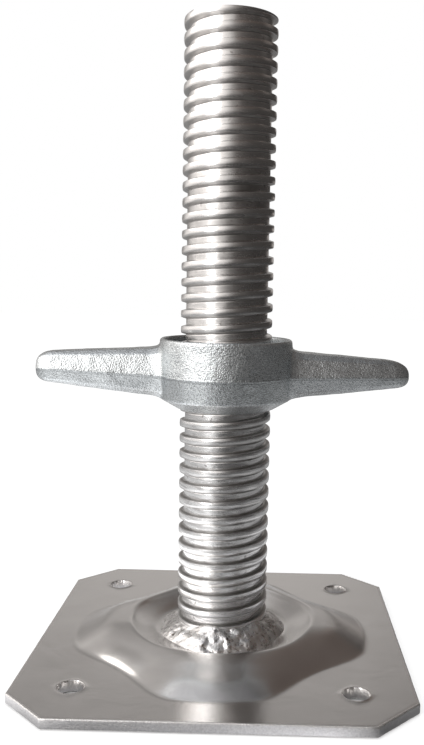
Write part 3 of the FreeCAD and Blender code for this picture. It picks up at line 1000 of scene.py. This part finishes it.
# %% Tones of the floor
FLOOR_TURNS = [-180, -120, -90, -60, -45, -36, -26, -13, 0, 15, 30, 40, 60, 90, 120, 150, 180]
NEAR = [0.8, 1.8, 2.0, 2.0, 1.7, 1.2, 0.5, 0.12, 0.08, 0.09, 0.14, 0.22, 0.56, 0.74, 0.76, 0.6, 0.8]
AWAY = [0.5, 0.6, 0.78, 0.96, 1.0, 1.08, 1.1, 0.7, 0.47, 0.48, 0.44, 0.37, 0.28, 0.24, 0.25, 0.3, 0.5]
FLOOR_REACHES = [0.092, 0.107, 0.135, 0.15, 0.19, 0.24, 0.45, 0.7]
FLOOR_TONES = [
    [0.6, 0.8, 1.1, 1.1, 0.15, 0.24, 0.34, 0.47, 0.6, 0.92, 1.25, 0.1, 0.13, 0.2, 0.25, 0.3, 0.6],
    NEAR, NEAR, AWAY, AWAY,
    [0.5, 0.66, 0.6, 0.66, 0.82, 0.76, 0.34, 0.08, 0.065, 0.075, 0.1, 0.13, 0.22, 0.28, 0.31, 0.34, 0.45],
    [0.25, 0.44, 0.42, 0.56, 0.92, 1.05, 0.5, 0.09, 0.065, 0.07, 0.09, 0.12, 0.18, 0.22, 0.26, 0.3, 0.25],
    [0.3, 0.4, 0.4, 0.42, 0.48, 0.55, 0.4, 0.1, 0.05, 0.04, 0.04, 0.04, 0.04, 0.04, 0.05, 0.1, 0.3]]


def floor_tones(turn, reach):
    """Brightness of the floor in reflections towards a turn, at a distance in metres."""
    tone = np.interp(turn, FLOOR_TURNS, FLOOR_TONES[0])
    for start, end, values in zip(FLOOR_REACHES, FLOOR_REACHES[1:], FLOOR_TONES[1:]):
        share = soft_step((reach - start) / (end - start))
        tone = tone + (np.interp(turn, FLOOR_TURNS, values) - tone) * share
    return tone


print("floor left of the plate and in front of it:", np.round(floor_tones(np.array([-90.0, 0.0]), 0.12), 2))

# %% [markdown]
# The dome and the floor disc are one sheet of rings. Its points carry their colours, a little warm at
# the sides, brown on the right and cool overhead and near the plate, and only reflections see it.

# %% The room in the reflections
WARM, COOL = np.array([1.03, 0.985, 0.95]), np.array([0.985, 0.99, 1.03])
PLAIN, BROWN = np.array([1.005, 0.998, 0.997]), np.array([0.12, -0.05, -0.13])
ROOM_RADIUS = 1.6


def room_sheet():
    """Points of the floor disc and of the dome in metres, ring by ring, and their colours."""
    turn = np.linspace(-180.0, 180.0, 145)[:, None]
    rise = np.linspace(0.0, 90.0, 46)[None, :]
    reach = np.concatenate([np.linspace(0.02, 0.4, 30), np.linspace(0.45, ROOM_RADIUS, 12)])[None, :]
    tint = WARM + (COOL - WARM) * soft_step((rise - 45.0) / 30.0)[..., None]
    brown = band(turn, 0.0, 25.0, 165.0, 10.0) * soft_step((65.0 - rise) / 10.0)
    brown = brown * (0.25 + 0.75 * soft_step((rise - 25.0) / 10.0))
    walls = room_tones(turn, rise)[..., None] * tint * (1.0 + brown[..., None] * BROWN)
    tint = COOL + (PLAIN - COOL) * soft_step((reach - 0.09) / 0.03)[..., None]
    ground = floor_tones(turn, reach)[..., None] * tint
    around = np.radians(turn - 90.0)
    dome = ROOM_RADIUS * round_points(np.cos(np.radians(rise)), around, np.sin(np.radians(rise)))
    points = np.concatenate([round_points(reach, around, 0.0004), dome], axis=1)
    return points, np.concatenate([ground, walls], axis=1)


def make_room():
    """The painted sheet as an object that glows in reflections and is hidden from everything else."""
    points, colours = room_sheet()
    mesh = bpy.data.meshes.new("room")
    mesh.from_pydata(points.reshape(-1, 3), [], sheet_quads(number_table(points)))
    layer = mesh.attributes.new("tone", "FLOAT_COLOR", "POINT")
    rgba = np.concatenate([colours, np.ones(colours.shape[:2] + (1,))], axis=-1)
    layer.data.foreach_set("color", rgba.astype(np.float32).ravel())
    material, tree, surface = bare_material("room")
    painted = tree.nodes.new("ShaderNodeAttribute")
    painted.attribute_name = "tone"
    glow = add_node(tree, "ShaderNodeEmission", Color=painted.outputs["Color"])
    feed(surface, glow.outputs[0])
    material.cycles.emission_sampling = "NONE"
    mesh.materials.append(material)
    room = put("room", mesh)
    room.visible_camera = room.visible_diffuse = room.visible_shadow = False
    return room


room = make_room()
print("room:", len(room.data.vertices), "points")

# %% [markdown]
# One large soft lamp on the left front is the window. The camera stands where the photograph was taken:
# slightly right of the middle, a little above the nut, tilted down by about five degrees.

# %% Lamp and camera
lamp_data = bpy.data.lights.new("window", "AREA")
lamp_data.shape = "RECTANGLE"
lamp_data.size, lamp_data.size_y, lamp_data.energy = 0.45, 1.1, 3.0
lamp = put("window", lamp_data)
lamp.location = (-0.62, -0.70, 0.55)
lamp.rotation_mode = "QUATERNION"
lamp.rotation_quaternion = (Vector((0.0, 0.0, 0.12)) - lamp.location).to_track_quat("-Z", "Y")


def add_camera(place, yaw, pitch, roll, focal, centre):
    """A camera from its place in millimetres, its angles in degrees, and its focal length and picture centre
    in pixels of the 424 x 745 frame; off-centre pictures need a small shift."""
    wide, tall, sensor = 424, 745, 36.0
    turn = Matrix()
    for angle, axis in ((-yaw, "Z"), (90.0 - pitch, "X"), (roll, "Z")):
        turn = turn @ Matrix.Rotation(math.radians(angle), 4, axis)
    data = bpy.data.cameras.new("camera")
    data.sensor_width = sensor
    data.lens = focal * sensor / tall
    data.shift_x = (wide / 2 - centre[0]) / tall
    data.shift_y = (centre[1] - tall / 2) / tall
    data.clip_start = 0.01
    camera = put("camera", data)
    camera.matrix_world = Matrix.Translation(np.array(place) * MM) @ turn
    bpy.context.scene.camera = camera
    return camera


camera = add_camera((18.08, -348.36, 154.59), -0.59, 5.32, 1.18, 841.6, (261.0, 358.0))
bpy.context.scene.view_settings.view_transform = "Standard"
print(f"lens {camera.data.lens:.1f} mm, shift {camera.data.shift_x:.3f}, {camera.data.shift_y:.3f}")
